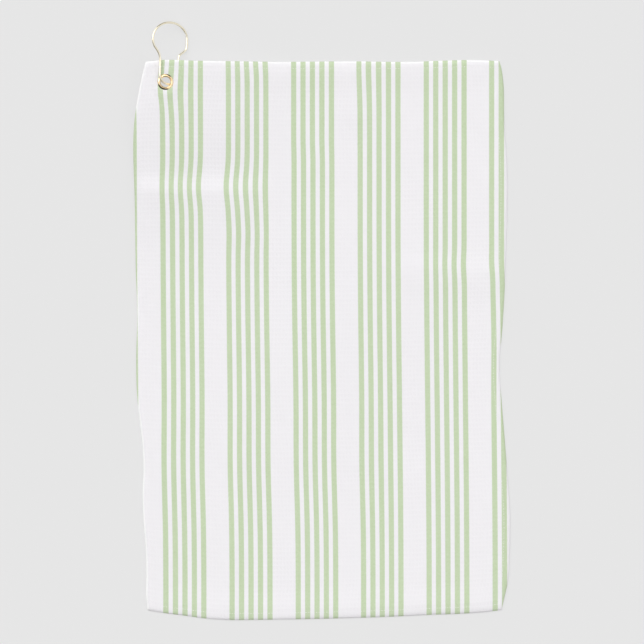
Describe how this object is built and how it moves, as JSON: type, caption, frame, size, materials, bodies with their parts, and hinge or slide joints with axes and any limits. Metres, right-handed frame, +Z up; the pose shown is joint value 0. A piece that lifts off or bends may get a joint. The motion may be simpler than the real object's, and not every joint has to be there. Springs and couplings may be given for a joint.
{
  "type": "golf towel",
  "caption": "Rectangular waffle-weave towel with a brass grommet in one corner and a sprung wire hook through it for hanging on a golf bag.",
  "frame": {"origin": "centre of the whole object's bounding box in plan, at table level", "axes": "+X across the towel towards the side away from the hook, +Y along the towel towards the hook end, +Z up out of the printed face"},
  "size_m": [0.4086, 0.6524, 0.0249],
  "materials": {
    "cloth_white": "matte waffle weave with printed green stripes",
    "hem_white": "matte waffle weave",
    "thread_white": "satin thread",
    "grommet_brass": "polished",
    "washer_brass": "polished",
    "hook_gold": "polished brass plating",
    "gate_gold": "polished brass plating"
  },
  "bodies": {
    "towel": {"cloth_panel": "cloth_white", "hem_top": "hem_white", "hem_bottom": "hem_white", "hem_left": "hem_white", "hem_right": "hem_white", "hem_stitch_top": "thread_white", "hem_stitch_bottom": "thread_white", "hem_stitch_left": "thread_white", "hem_stitch_right": "thread_white"},
    "grommet": {"grommet_eyelet": "grommet_brass", "grommet_washer": "washer_brass"},
    "hook": {"hook_wire": "hook_gold"},
    "gate": {"hook_gate": "gate_gold"}
  },
  "joints": [
    {"name": "hook_swing", "type": "hinge", "parent": "towel", "child": "grommet", "pos_m": [-0.17082, 0.25957, 0.01454], "axis": [0, 0, 1], "range_deg": [-50, 130]},
    {"name": "hook_roll", "type": "hinge", "parent": "grommet", "child": "hook", "pos_m": [-0.17082, 0.25957, 0.01454], "axis": [0.0314, 0.9995, 0], "range_deg": [0, 118]},
    {"name": "gate_flex", "type": "hinge", "parent": "hook", "child": "gate", "pos_m": [-0.16777, 0.25732, 0.01263], "axis": [0.5222, -0.0164, 0.8526], "range_deg": [0, 10], "stiffness_Nm_per_rad": 1.2}
  ]
}
